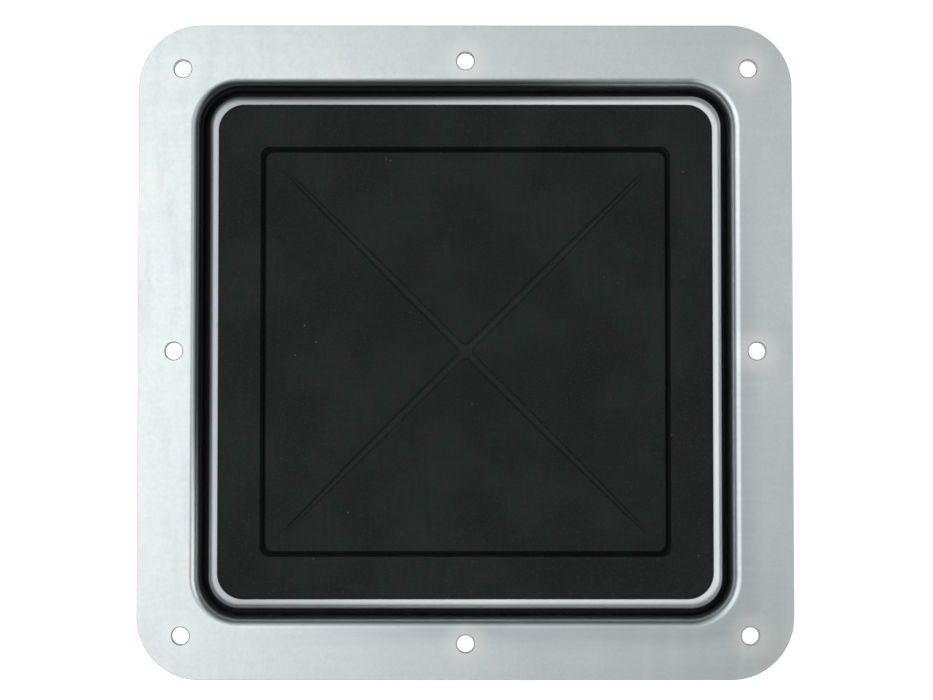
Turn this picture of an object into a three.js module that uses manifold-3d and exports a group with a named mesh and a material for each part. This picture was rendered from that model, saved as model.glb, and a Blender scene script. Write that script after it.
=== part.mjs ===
// Flush ventilating deck hatch, in millimetres, +Z up.
// The origin is the middle of the opening, on the deck surface that the gasket lies on.
// A pressed steel frame carries the seal and a bridge bar. A handwheel under the bridge turns
// a captive nut, and the nut raises the square lid on its spindle, guided by two rods.

import * as THREE from "three";
import { mergeVertices } from "three/addons/utils/BufferGeometryUtils.js";
import Module from "manifold-3d";

const wasm = await Module();
wasm.setup();

// ---------------------------------------------------------------- driving dimensions

const SEAT = 0.1; // gap left between pieces that touch
const RUN = 0.3; // radial gap round pieces that slide or turn
const CLEAR = 1; // how far a cutter stands out of the piece it cuts, and joined bodies overlap
const BREAK = 1; // chamfer on the end of a shaft
const ARC_STEPS = 6; // flats in a quarter turn of a square's corner
const BEND_STEPS = 3; // flats in a small bend in a section
const ROUND = 24; // flats round a turned piece
const SMALL_ROUND = 12; // flats round a fastener

const SHEET = 1.5; // pressed sheet of frame, ledge and tray
const FLANGE = { half: 125, corner: 24 };
const GASKET = { thick: 1.5, inset: 0.5, inner: 105.4 };
const SCREW_HOLE = { radius: 3.3, cornerAt: 108.3, middleAt: 111.3 };
const CORNER_CENTRE = 86; // the well, seal and lid all turn their corners about this point
const WELL = { half: 101.3, bend: 4, depth: 18 };
const LEDGE = { half: 86, corner: 10, drop: 15 };
const SEAL = { inner: 88.3, outer: 100.9, height: 6.8, round: 2 };

const LID = { half: 98, rim: 3.7, innerCorner: 9.8, round: 2.8, skirt: 11, trayDepth: 8 };
const INSERT = { recessHalf: 78.2, recessCorner: 3.4, recessDepth: 2, slope: 0.8 };
const CROSS = { reach: 72, tip: 1.8, depth: 0.8 };
const BRACE = { thick: 6, armEnd: 70, armWidth: 20, beamWidth: 26, hub: 32 };
const STUD = { radius: 2.5, inner: 20, outer: 70, below: 5.4, nut: 8, nutHeight: 4 };

const LIFT = 36; // travel of the lid
const SPINDLE = { radius: 7, neck: 5, collar: 6, acrossFlats: 22 };
const ROD = { radius: 4, at: 68, neck: 3, collar: 6, collarHeight: 4 };
const STOP = { radius: 9.7, thick: 2, gap: 0.4, screw: 3, head: 5, headHeight: 4, depth: 12 };

const BRIDGE = { width: 32, thick: 4, underLid: 21.5, hub: 31, bend: 5, tabTop: -18.5 };
const BRIDGE_BOLT = { radius: 2.5, at: 9, z: -24, head: 8, headHeight: 3.5, length: 12 };
const BUSH = { radius: 7, flange: 10, flangeThick: 2, length: 12 };
const HOUSING = { radius: 15, flange: 27, flangeThick: 4, length: 20, screwAt: 21 };
const HOUSING_SCREW = { radius: 2, head: 3.6, headHeight: 2.6, nut: 7, nutHeight: 3.2, end: 1.5 };

const NUT = { radius: 11, flange: 21, flangeThick: 5.2, above: 4.8, grooveDepth: 0.9 };
const WASHER = { outer: 15, thick: 1.1 };
const RING = { outer: 13, thick: 1.5, gap: 4 };
const WHEEL = { ring: 36, tube: 5, hubHeight: 13.4, ringRise: 4, spokes: 3, spoke: 4, taper: 1, root: 17 };
const WHEEL_SCREW = { radius: 2, at: 15, head: 3.6, headHeight: 2.4, length: 17 };

// ---------------------------------------------------------------- levels worked out from them

const flangeUnder = GASKET.thick + SEAT;
const flangeTop = flangeUnder + SHEET;
const ledgeTop = flangeTop - WELL.depth;
const ledgeUnder = ledgeTop - SHEET;
const trayTop = flangeTop - LID.trayDepth;
const trayUnder = trayTop - SHEET;
const braceTop = trayUnder - SEAT;
const braceUnder = braceTop - BRACE.thick;
const bridgeTop = braceUnder - BRIDGE.underLid;
const bridgeUnder = bridgeTop - BRIDGE.thick;
const housingTop = bridgeTop + SEAT + HOUSING.flangeThick;
const housingUnder = housingTop - HOUSING.length;
const nutTop = housingTop + NUT.above;
const nutFlangeTop = housingUnder - WASHER.thick - 2 * SEAT;
const nutUnder = nutFlangeTop - NUT.flangeThick;
const wheelTop = nutUnder - SEAT;
const wheelUnder = wheelTop - WHEEL.hubHeight;
const bushUnder = bridgeTop + SEAT - BUSH.length;
const spindleEnd = nutUnder - LIFT - STOP.gap;
const rodEnd = bushUnder - LIFT - ROD.radius;
const neckTop = braceTop - SEAT * 5;

// ---------------------------------------------------------------- materials

function material(color, roughness, metalness) {
  return new THREE.MeshStandardMaterial({ color, roughness, metalness });
}

const satinSteel = material(0xb4bdbe, 0.35, 1);
const rimSteel = material(0xd4dadc, 0.25, 1);
const barSteel = material(0xa8aeb0, 0.4, 1);
const screwSteel = material(0xc4c8ca, 0.25, 1);
const blackRubber = material(0x101312, 0.7, 0);
const mouldedRubber = material(0x242a28, 0.6, 0);
const nylon = material(0x141516, 0.45, 0);
const acetal = material(0xe8e6df, 0.4, 0);
const bronze = material(0xb08850, 0.35, 1);

// ---------------------------------------------------------------- solids from geometry

function solidOf(geometry) {
  const bare = geometry.index ? geometry.toNonIndexed() : geometry.clone();
  bare.deleteAttribute("normal");
  bare.deleteAttribute("uv");
  const merged = mergeVertices(bare, 1e-4);
  return new wasm.Manifold(
    new wasm.Mesh({
      numProp: 3,
      vertProperties: merged.attributes.position.array,
      triVerts: new Uint32Array(merged.index.array),
    }),
  );
}

function geometryOf(solid) {
  const mesh = solid.getMesh();
  const geometry = new THREE.BufferGeometry();
  geometry.setAttribute("position", new THREE.BufferAttribute(mesh.vertProperties, 3));
  geometry.setIndex(new THREE.BufferAttribute(mesh.triVerts, 1));
  const flat = geometry.toNonIndexed();
  flat.computeVertexNormals();
  return flat;
}

// The first geometry, joined with `added` and then cut by `cutters`.
function shaped(base, { added = [], cutters = [] }) {
  let solid = solidOf(base);
  for (const piece of added) solid = solid.add(solidOf(piece));
  for (const cutter of cutters) solid = solid.subtract(solidOf(cutter));
  return geometryOf(solid);
}

// ---------------------------------------------------------------- outlines and basic bodies

function roundedSquare(path, half, corner) {
  const centre = half - corner;
  path.moveTo(half, -centre);
  path.lineTo(half, centre);
  path.absarc(centre, centre, corner, 0, Math.PI / 2);
  path.lineTo(-centre, half);
  path.absarc(-centre, centre, corner, Math.PI / 2, Math.PI);
  path.lineTo(-half, -centre);
  path.absarc(-centre, -centre, corner, Math.PI, 1.5 * Math.PI);
  path.lineTo(centre, -half);
  path.absarc(centre, -centre, corner, 1.5 * Math.PI, 2 * Math.PI);
  return path;
}

function extruded(shape, bottom, height, curveSegments = ARC_STEPS / 2) {
  const options = { depth: height, bevelEnabled: false, curveSegments };
  return new THREE.ExtrudeGeometry(shape, options).translate(0, 0, bottom);
}

function squarePlate(half, corner, bottom, height) {
  return extruded(roundedSquare(new THREE.Shape(), half, corner), bottom, height);
}

function squareFrame(outer, inner, bottom, height) {
  const shape = roundedSquare(new THREE.Shape(), outer.half, outer.corner);
  shape.holes.push(roundedSquare(new THREE.Path(), inner.half, inner.corner));
  return extruded(shape, bottom, height);
}

// A stadium: a bar with round ends, centred on the origin and lying along X.
function stadium(length, width, bottom, height) {
  const half = length / 2;
  const radius = width / 2;
  const shape = new THREE.Shape();
  shape.moveTo(-half, -radius);
  shape.lineTo(half, -radius);
  shape.absarc(half, 0, radius, -Math.PI / 2, Math.PI / 2);
  shape.lineTo(-half, radius);
  shape.absarc(-half, 0, radius, Math.PI / 2, 1.5 * Math.PI);
  return extruded(shape, bottom, height);
}

function cylinder(radius, bottom, top, x = 0, y = 0, sides = SMALL_ROUND) {
  return new THREE.CylinderGeometry(radius, radius, top - bottom, sides)
    .rotateX(Math.PI / 2)
    .translate(x, y, (bottom + top) / 2);
}

function hexagon(acrossFlats, bottom, top, x = 0, y = 0) {
  return cylinder(acrossFlats / Math.sqrt(3), bottom, top, x, y, 6);
}

// A turned body from its outline, [radius, z] points taken anticlockwise.
function turned(outline, sides = ROUND) {
  const points = outline.map(([radius, z]) => new THREE.Vector2(radius, z));
  return new THREE.LatheGeometry(points, sides).rotateX(Math.PI / 2);
}

// A turned ring with a plain rectangular section.
function turnedRing(inner, outer, bottom, top, sides = ROUND) {
  const outline = [
    [inner, bottom],
    [outer, bottom],
    [outer, top],
    [inner, top],
    [inner, bottom],
  ];
  return turned(outline, sides);
}

// Points of an arc in a section, from one angle to another.
function arc(x, z, radius, from, to, steps) {
  return Array.from({ length: steps + 1 }, (_, i) => {
    const angle = from + ((to - from) * i) / steps;
    return [x + radius * Math.cos(angle), z + radius * Math.sin(angle)];
  });
}

// A ring of constant section round a square with round corners. Each point of the section is
// [distance from the middle to the side, z], anticlockwise, and the corners turn about points
// `centre` out from the middle along X and Y.
function squareRing(section, centre) {
  const positions = [];
  for (let corner = 0; corner < 4; corner++) {
    const start = (corner * Math.PI) / 2;
    const middle = start + Math.PI / 4;
    const cx = Math.sign(Math.cos(middle)) * centre;
    const cy = Math.sign(Math.sin(middle)) * centre;
    for (let step = 0; step <= ARC_STEPS; step++) {
      const angle = start + ((Math.PI / 2) * step) / ARC_STEPS;
      for (const [half, z] of section) {
        const radius = half - centre;
        positions.push(cx + radius * Math.cos(angle), cy + radius * Math.sin(angle), z);
      }
    }
  }
  const across = section.length;
  const round = positions.length / 3 / across;
  const index = [];
  for (let i = 0; i < round; i++) {
    const here = i * across;
    const next = ((i + 1) % round) * across;
    for (let j = 0; j < across; j++) {
      const k = (j + 1) % across;
      index.push(here + j, next + j, next + k, here + j, next + k, here + k);
    }
  }
  const geometry = new THREE.BufferGeometry();
  geometry.setAttribute("position", new THREE.Float32BufferAttribute(positions, 3));
  geometry.setIndex(index);
  geometry.computeVertexNormals();
  return geometry;
}

// ---------------------------------------------------------------- repeated places

// The eight screw places in the flange: four corners and four middles.
function flangeHolePlaces() {
  const { cornerAt, middleAt } = SCREW_HOLE;
  const corners = fourCorners(cornerAt);
  const middles = [
    [middleAt, 0],
    [0, middleAt],
    [-middleAt, 0],
    [0, -middleAt],
  ];
  return [...corners, ...middles];
}

function fourCorners(at) {
  return [
    [at, at],
    [-at, at],
    [-at, -at],
    [at, -at],
  ];
}

function onCircle(count, radius, first = 0) {
  return Array.from({ length: count }, (_, i) => {
    const angle = first + (2 * Math.PI * i) / count;
    return [radius * Math.cos(angle), radius * Math.sin(angle)];
  });
}

const studPlaces = [...fourCorners(STUD.inner), ...fourCorners(STUD.outer)];
const housingScrewPlaces = onCircle(4, HOUSING.screwAt, Math.PI / 4);
const wheelScrewPlaces = onCircle(WHEEL.spokes, WHEEL_SCREW.at, Math.PI / WHEEL.spokes);
const SIDES = { left: -1, right: 1 };

// ---------------------------------------------------------------- frame pieces

// Flange, bend and well wall, pressed from one sheet.
function deckFrame() {
  const bendStart = WELL.half + WELL.bend;
  const bendZ = flangeTop - WELL.bend;
  const overlap = bendStart + CLEAR;
  const section = [
    [WELL.half, ledgeUnder],
    [WELL.half + SHEET, ledgeUnder],
    ...arc(bendStart, bendZ, WELL.bend - SHEET, Math.PI, Math.PI / 2, BEND_STEPS),
    [overlap, flangeUnder],
    [overlap, flangeTop],
    ...arc(bendStart, bendZ, WELL.bend, Math.PI / 2, Math.PI, BEND_STEPS + 1),
  ];
  const inner = { half: bendStart, corner: bendStart - CORNER_CENTRE };
  const flange = squareFrame(FLANGE, inner, flangeUnder, SHEET);
  return shaped(flange, {
    added: [squareRing(section, CORNER_CENTRE)],
    cutters: flangeHolePlaces().map(([x, y]) =>
      cylinder(SCREW_HOLE.radius, flangeUnder - CLEAR, flangeTop + CLEAR, x, y),
    ),
  });
}

function deckGasket() {
  const outer = { half: FLANGE.half - GASKET.inset, corner: FLANGE.corner - GASKET.inset };
  const inner = { half: GASKET.inner, corner: GASKET.inner - CORNER_CENTRE };
  return shaped(squareFrame(outer, inner, 0, GASKET.thick), {
    cutters: flangeHolePlaces().map(([x, y]) =>
      cylinder(SCREW_HOLE.radius, -CLEAR, GASKET.thick + CLEAR, x, y),
    ),
  });
}

// Angle ring inside the foot of the well: a ledge for the seal and a downstand for the bridge.
function sealLedge() {
  const outerHalf = WELL.half - SEAT;
  const outer = { half: outerHalf, corner: outerHalf - CORNER_CENTRE };
  const centre = LEDGE.half - LEDGE.corner;
  const section = [
    [LEDGE.half, ledgeUnder - LEDGE.drop],
    [LEDGE.half + SHEET, ledgeUnder - LEDGE.drop],
    [LEDGE.half + SHEET, ledgeTop - SHEET / 2],
    ...arc(LEDGE.half + SHEET, ledgeTop - SHEET, SHEET, Math.PI / 2, Math.PI, BEND_STEPS),
  ];
  const boltHoles = boltPlaces().map(([side, y]) =>
    boltHole(side * LEDGE.half, y, 4 * SHEET),
  );
  return shaped(squareFrame(outer, { ...LEDGE, half: LEDGE.half + SHEET }, ledgeUnder, SHEET), {
    added: [squareRing(section, centre)],
    cutters: boltHoles,
  });
}

// Closed-cell seal lying on the ledge, with round shoulders.
function lidSeal() {
  const bottom = ledgeTop + SEAT;
  const top = bottom + SEAL.height - SEAT;
  const shoulder = top - SEAL.round;
  const section = [
    [SEAL.inner, bottom],
    [SEAL.outer, bottom],
    ...arc(SEAL.outer - SEAL.round, shoulder, SEAL.round, 0, Math.PI / 2, BEND_STEPS),
    ...arc(SEAL.inner + SEAL.round, shoulder, SEAL.round, Math.PI / 2, Math.PI, BEND_STEPS),
  ];
  return squareRing(section, CORNER_CENTRE);
}

// Flat bar bent up at both ends, with a round pad in the middle for the bearing housing.
function bridgeBar() {
  const reach = LEDGE.half - SEAT;
  const inside = reach - BRIDGE.thick;
  const bendX = reach - BRIDGE.bend;
  const bendZ = bridgeUnder + BRIDGE.bend;
  const innerBend = BRIDGE.bend - BRIDGE.thick;
  const profile = new THREE.Shape();
  profile.moveTo(reach, BRIDGE.tabTop);
  profile.lineTo(inside, BRIDGE.tabTop);
  profile.lineTo(inside, bendZ);
  profile.absarc(bendX, bendZ, innerBend, 0, -Math.PI / 2, true);
  profile.lineTo(-bendX, bridgeTop);
  profile.absarc(-bendX, bendZ, innerBend, -Math.PI / 2, -Math.PI, true);
  profile.lineTo(-inside, BRIDGE.tabTop);
  profile.lineTo(-reach, BRIDGE.tabTop);
  profile.lineTo(-reach, bendZ);
  profile.absarc(-bendX, bendZ, BRIDGE.bend, Math.PI, 1.5 * Math.PI);
  profile.lineTo(bendX, bridgeUnder);
  profile.absarc(bendX, bendZ, BRIDGE.bend, 1.5 * Math.PI, 2 * Math.PI);
  const bar = extruded(profile, -BRIDGE.width / 2, BRIDGE.width, 2).rotateX(Math.PI / 2);
  const [low, high] = [bridgeUnder - CLEAR, bridgeTop + CLEAR];
  return shaped(bar, {
    added: [cylinder(BRIDGE.hub, bridgeUnder, bridgeTop, 0, 0, ROUND)],
    cutters: [
      cylinder(HOUSING.radius + RUN, low, high, 0, 0, ROUND),
      ...Object.values(SIDES).map((s) => cylinder(BUSH.radius + RUN, low, high, s * ROD.at)),
      ...housingScrewPlaces.map(([x, y]) => cylinder(HOUSING_SCREW.radius + RUN, low, high, x, y)),
      ...boltPlaces().map(([side, y]) => boltHole(side * inside, y, 3 * BRIDGE.thick)),
    ],
  });
}

function boltPlaces() {
  return [
    [1, BRIDGE_BOLT.at],
    [1, -BRIDGE_BOLT.at],
    [-1, BRIDGE_BOLT.at],
    [-1, -BRIDGE_BOLT.at],
  ];
}

// Cutter for a bridge bolt's hole, lying along X.
function boltHole(x, y, length) {
  const radius = BRIDGE_BOLT.radius + RUN;
  return new THREE.CylinderGeometry(radius, radius, length, SMALL_ROUND)
    .rotateZ(Math.PI / 2)
    .translate(x, y, BRIDGE_BOLT.z);
}

// Hexagon-head bolt with its head's bearing face at z 0 and its shank going down.
function hexBolt(radius, length, acrossFlats, headHeight) {
  return shaped(hexagon(acrossFlats, 0, headHeight), {
    added: [cylinder(radius, -length, headHeight / 2)],
  });
}

// Hexagon nut standing on z 0.
function hexNut(radius, acrossFlats, height) {
  return shaped(hexagon(acrossFlats, 0, height), {
    cutters: [cylinder(radius + SEAT, -CLEAR, height + CLEAR)],
  });
}

function guideBush() {
  const top = bridgeTop + SEAT + BUSH.flangeThick;
  const bore = ROD.radius + RUN;
  return turned([
    [bore, bushUnder],
    [BUSH.radius, bushUnder],
    [BUSH.radius, bridgeTop + SEAT],
    [BUSH.flange, bridgeTop + SEAT],
    [BUSH.flange, top],
    [bore, top],
    [bore, bushUnder],
  ], ROUND);
}

function bearingHousing() {
  const bore = NUT.radius + RUN;
  const flangeZ = bridgeTop + SEAT;
  const body = turned([
    [bore, housingUnder],
    [HOUSING.radius, housingUnder],
    [HOUSING.radius, flangeZ],
    [HOUSING.flange, flangeZ],
    [HOUSING.flange, housingTop],
    [bore, housingTop],
    [bore, housingUnder],
  ]);
  return shaped(body, {
    cutters: housingScrewPlaces.map(([x, y]) =>
      cylinder(HOUSING_SCREW.radius + RUN, flangeZ - CLEAR, housingTop + CLEAR, x, y),
    ),
  });
}

// Pan-head screw through the housing flange and the bridge, with its head's underside at z 0.
function housingScrew() {
  const { radius, head, headHeight, nutHeight, end } = HOUSING_SCREW;
  const length = housingTop - bridgeUnder + nutHeight + end;
  return turned([
    [0, -length],
    [radius, -length],
    [radius, 0],
    [head, 0],
    [head, headHeight * 0.6],
    [head * 0.7, headHeight],
    [0, headHeight],
  ], SMALL_ROUND);
}

// ---------------------------------------------------------------- handwheel pieces

// Flanged nut that turns in the housing. A ring in its top groove keeps it there.
function driveNut() {
  const bore = SPINDLE.radius + RUN;
  const grooveLow = housingTop + WASHER.thick + 2 * SEAT;
  const grooveHigh = grooveLow + RING.thick + SEAT;
  const groove = NUT.radius - NUT.grooveDepth;
  const body = turned([
    [bore, nutUnder],
    [NUT.flange, nutUnder],
    [NUT.flange, nutFlangeTop],
    [NUT.radius, nutFlangeTop],
    [NUT.radius, grooveLow],
    [groove, grooveLow],
    [groove, grooveHigh],
    [NUT.radius, grooveHigh],
    [NUT.radius, nutTop],
    [bore, nutTop],
    [bore, nutUnder],
  ]);
  return shaped(body, {
    cutters: wheelScrewPlaces.map(([x, y]) =>
      cylinder(WHEEL_SCREW.radius + SEAT, nutUnder - CLEAR, nutFlangeTop + CLEAR, x, y),
    ),
  });
}

function retainingRing() {
  const bottom = housingTop + WASHER.thick + 2 * SEAT + SEAT / 2;
  const inner = NUT.radius - NUT.grooveDepth + SEAT;
  const gap = new THREE.BoxGeometry(RING.outer, RING.gap, 3 * RING.thick);
  return shaped(turnedRing(inner, RING.outer, bottom, bottom + RING.thick), {
    cutters: [gap.translate(RING.outer, 0, bottom)],
  });
}

// Hub, spokes and round rim, moulded in one. The rim hangs below the hub's top face.
function handwheel() {
  const ringZ = wheelUnder + WHEEL.ringRise;
  const hub = turnedRing(STOP.radius + 3 * RUN, NUT.flange, wheelUnder, wheelTop);
  const rim = new THREE.TorusGeometry(WHEEL.ring, WHEEL.tube, SMALL_ROUND - 2, ROUND + 4);
  rim.translate(0, 0, ringZ);
  const spokes = onCircle(WHEEL.spokes, 1).map(([x, y]) => {
    const length = WHEEL.ring - WHEEL.root;
    return new THREE.CylinderGeometry(WHEEL.spoke, WHEEL.spoke + WHEEL.taper, length, SMALL_ROUND)
      .translate(0, WHEEL.root + length / 2, 0)
      .rotateZ(Math.atan2(y, x) - Math.PI / 2)
      .translate(0, 0, ringZ);
  });
  const sinkDepth = WHEEL_SCREW.headHeight + SEAT;
  const cutters = wheelScrewPlaces.flatMap(([x, y]) => [
    cylinder(WHEEL_SCREW.radius + RUN, wheelUnder - CLEAR, wheelTop + CLEAR, x, y),
    cylinder(WHEEL_SCREW.head + RUN, wheelUnder - CLEAR, wheelUnder + sinkDepth, x, y),
  ]);
  return shaped(hub, { added: [rim, ...spokes], cutters });
}

// Low-head screw, with its head's underside at z 0 and its shank going up.
function wheelScrew() {
  const { radius, head, headHeight, length } = WHEEL_SCREW;
  return turned([
    [0, -headHeight],
    [head - BREAK / 2, -headHeight],
    [head, -headHeight + BREAK / 2],
    [head, 0],
    [radius, 0],
    [radius, length - headHeight],
    [0, length - headHeight],
  ], SMALL_ROUND);
}

// ---------------------------------------------------------------- lid pieces

// Pressed tray with a folded rim that stands up round the insert and down to the seal,
// and welded studs under its floor.
function lidTray() {
  const inner = LID.half - LID.rim;
  const bottom = flangeTop - LID.skirt;
  const shoulder = flangeTop - LID.round;
  const section = [
    [CORNER_CENTRE + CLEAR, trayUnder],
    [inner, trayUnder],
    [inner, bottom],
    [LID.half, bottom],
    ...arc(LID.half - LID.round, shoulder, LID.round, 0, Math.PI / 2, BEND_STEPS + 1),
    [CORNER_CENTRE + CLEAR, flangeTop],
  ];
  const floorHalf = inner - CLEAR;
  const floor = squarePlate(floorHalf, floorHalf - CORNER_CENTRE, trayUnder, SHEET);
  const studEnd = braceUnder - STUD.below;
  return shaped(squareRing(section, CORNER_CENTRE), {
    added: [
      floor,
      ...studPlaces.map(([x, y]) => cylinder(STUD.radius, studEnd, trayUnder + SHEET / 3, x, y)),
    ],
    cutters: [squarePlate(inner, LID.innerCorner, trayTop, LID.trayDepth + CLEAR)],
  });
}

// Moulded insert: a flat border, a sunk square and four grooves that widen to the middle.
function lidInsert() {
  const half = LID.half - LID.rim - SEAT;
  const body = squarePlate(half, LID.innerCorner, trayTop + SEAT, LID.trayDepth - SEAT);
  const sunk = flangeTop - INSERT.recessDepth;
  const over = flangeTop + CLEAR;
  const sunkHalf = INSERT.recessHalf - INSERT.slope;
  const centre = INSERT.recessHalf - INSERT.recessCorner;
  const inside = centre + CLEAR / 2;
  const wall = [
    [inside, sunk],
    [sunkHalf, sunk],
    [INSERT.recessHalf, flangeTop],
    [INSERT.recessHalf, over],
    [inside, over],
  ];
  const middle = squarePlate(sunkHalf, sunkHalf - centre, sunk, INSERT.recessDepth + CLEAR);
  const star = new THREE.Shape();
  onCircle(4, 1).forEach(([x, y], i) => {
    const [tipX, tipY] = fourCorners(CROSS.reach)[i];
    if (i === 0) star.moveTo(CROSS.tip * x, CROSS.tip * y);
    else star.lineTo(CROSS.tip * x, CROSS.tip * y);
    star.lineTo(tipX, tipY);
  });
  const grooves = extruded(star, sunk - CROSS.depth, CROSS.depth + CLEAR);
  return shaped(body, { cutters: [squareRing(wall, centre), middle, grooves] });
}

// Six-armed plate that spreads the spindle's pull to the tray's corners and holds the rods.
function lidBrace() {
  const armLength = 2 * BRACE.armEnd * Math.SQRT2;
  const arms = [Math.PI / 4, -Math.PI / 4].map((angle) =>
    stadium(armLength, BRACE.armWidth, braceUnder, BRACE.thick).rotateZ(angle),
  );
  const [low, high] = [braceUnder - CLEAR, braceTop + CLEAR];
  return shaped(stadium(2 * ROD.at, BRACE.beamWidth, braceUnder, BRACE.thick), {
    added: [...arms, cylinder(BRACE.hub, braceUnder, braceTop, 0, 0, ROUND)],
    cutters: [
      cylinder(SPINDLE.neck + SEAT, low, high, 0, 0, ROUND),
      ...Object.values(SIDES).map((s) =>
        cylinder(ROD.neck + SEAT, low, high, s * ROD.at, 0, ROUND),
      ),
      ...studPlaces.map(([x, y]) => cylinder(STUD.radius + RUN, low, high, x, y)),
    ],
  });
}

// Threaded spindle, drawn at its outer diameter, with a hexagon collar under the brace.
function spindle() {
  const collarTop = braceUnder - SEAT;
  const collarUnder = collarTop - SPINDLE.collar;
  const { radius, neck } = SPINDLE;
  const stem = turned([
    [0, spindleEnd],
    [radius - BREAK, spindleEnd],
    [radius, spindleEnd + BREAK],
    [radius, collarTop - CLEAR],
    [neck, collarTop - CLEAR],
    [neck, neckTop],
    [0, neckTop],
  ]);
  return shaped(stem, {
    added: [hexagon(SPINDLE.acrossFlats, collarUnder, collarTop)],
    cutters: [
      cylinder(STOP.screw + SEAT, spindleEnd - CLEAR, spindleEnd + STOP.depth, 0, 0, ROUND),
    ],
  });
}

function guideRod() {
  const collarTop = braceUnder - SEAT;
  const { radius, neck, collar, collarHeight } = ROD;
  return turned([
    [0, rodEnd],
    [radius - BREAK, rodEnd],
    [radius, rodEnd + BREAK],
    [radius, collarTop - collarHeight],
    [collar, collarTop - collarHeight],
    [collar, collarTop],
    [neck, collarTop],
    [neck, neckTop],
    [0, neckTop],
  ], ROUND);
}

function stopScrew() {
  const headTop = spindleEnd - STOP.thick - 2 * SEAT;
  const headUnder = headTop - STOP.headHeight;
  const shankTop = spindleEnd + STOP.depth - BREAK;
  return turned([
    [0, headUnder],
    [STOP.head - BREAK, headUnder],
    [STOP.head, headUnder + 1.5 * BREAK],
    [STOP.head, headTop],
    [STOP.screw, headTop],
    [STOP.screw, shankTop],
    [0, shankTop],
  ], ROUND);
}

// ---------------------------------------------------------------- the assembly

function place(group, name, geometry, finish, position = [0, 0, 0]) {
  const mesh = new THREE.Mesh(geometry, finish);
  mesh.name = name;
  mesh.position.set(...position);
  group.add(mesh);
  return mesh;
}

function frameGroup() {
  const group = new THREE.Group();
  place(group, "deck_frame", deckFrame(), satinSteel);
  place(group, "deck_gasket", deckGasket(), blackRubber);
  place(group, "seal_ledge", sealLedge(), satinSteel);
  place(group, "lid_seal", lidSeal(), blackRubber);
  place(group, "bridge_bar", bridgeBar(), barSteel);
  place(group, "bearing_housing", bearingHousing(), satinSteel);
  for (const [name, side] of Object.entries(SIDES))
    place(group, `guide_bush_${name}`, guideBush(), acetal, [side * ROD.at, 0, 0]);

  const headX = LEDGE.half - BRIDGE.thick - 2 * SEAT;
  const nutX = LEDGE.half + SHEET + SEAT;
  const { radius, head, headHeight, length } = BRIDGE_BOLT;
  boltPlaces().forEach(([side, y], i) => {
    const bolt = hexBolt(radius, length, head, headHeight);
    const boltAt = [side * headX, y, BRIDGE_BOLT.z];
    place(group, `bridge_bolt_${i + 1}`, bolt, screwSteel, boltAt).rotation.y =
      (-side * Math.PI) / 2;
    const nut = hexNut(radius, head, headHeight);
    const nutAt = [side * nutX, y, BRIDGE_BOLT.z];
    place(group, `bridge_nut_${i + 1}`, nut, screwSteel, nutAt).rotation.y = (side * Math.PI) / 2;
  });

  housingScrewPlaces.forEach(([x, y], i) => {
    const screwAt = [x, y, housingTop + SEAT];
    place(group, `housing_screw_${i + 1}`, housingScrew(), screwSteel, screwAt);
    const nut = hexNut(HOUSING_SCREW.radius, HOUSING_SCREW.nut, HOUSING_SCREW.nutHeight);
    const nutAt = [x, y, bridgeUnder - SEAT - HOUSING_SCREW.nutHeight];
    place(group, `housing_nut_${i + 1}`, nut, screwSteel, nutAt);
  });
  return group;
}

function wheelGroup() {
  const group = new THREE.Group();
  const washer = () => turnedRing(NUT.radius + RUN, WASHER.outer, 0, WASHER.thick);
  place(group, "drive_nut", driveNut(), bronze);
  place(group, "handwheel", handwheel(), nylon);
  place(group, "thrust_washer_upper", washer(), acetal, [0, 0, housingTop + SEAT]);
  place(group, "thrust_washer_lower", washer(), acetal, [0, 0, nutFlangeTop + SEAT]);
  place(group, "retaining_ring", retainingRing(), screwSteel);
  wheelScrewPlaces.forEach(([x, y], i) => {
    const at = [x, y, wheelUnder + WHEEL_SCREW.headHeight];
    place(group, `wheel_screw_${i + 1}`, wheelScrew(), screwSteel, at);
  });
  return group;
}

function lidGroup() {
  const group = new THREE.Group();
  place(group, "lid_tray", lidTray(), rimSteel);
  place(group, "lid_insert", lidInsert(), mouldedRubber);
  place(group, "lid_brace", lidBrace(), barSteel);
  place(group, "spindle", spindle(), screwSteel);
  for (const [name, side] of Object.entries(SIDES))
    place(group, `guide_rod_${name}`, guideRod(), screwSteel, [side * ROD.at, 0, 0]);
  studPlaces.forEach(([x, y], i) => {
    const nut = hexNut(STUD.radius, STUD.nut, STUD.nutHeight);
    const nutAt = [x, y, braceUnder - SEAT - STUD.nutHeight];
    place(group, `brace_nut_${i + 1}`, nut, screwSteel, nutAt);
  });
  const stopWasher = turnedRing(STOP.screw + RUN, STOP.radius, 0, STOP.thick);
  place(group, "stop_washer", stopWasher, screwSteel, [0, 0, spindleEnd - SEAT - STOP.thick]);
  place(group, "stop_screw", stopScrew(), screwSteel);
  return group;
}

const hatch = new THREE.Group();
hatch.add(frameGroup(), wheelGroup(), lidGroup());

export default hatch;
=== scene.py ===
"""Flush ventilating deck hatch: fine surfaces and finishes over its CAD frame."""

from math import copysign, cos, hypot, pi, radians, sin, sqrt

import bmesh
import bpy
from mathutils import Matrix, Vector


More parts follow.
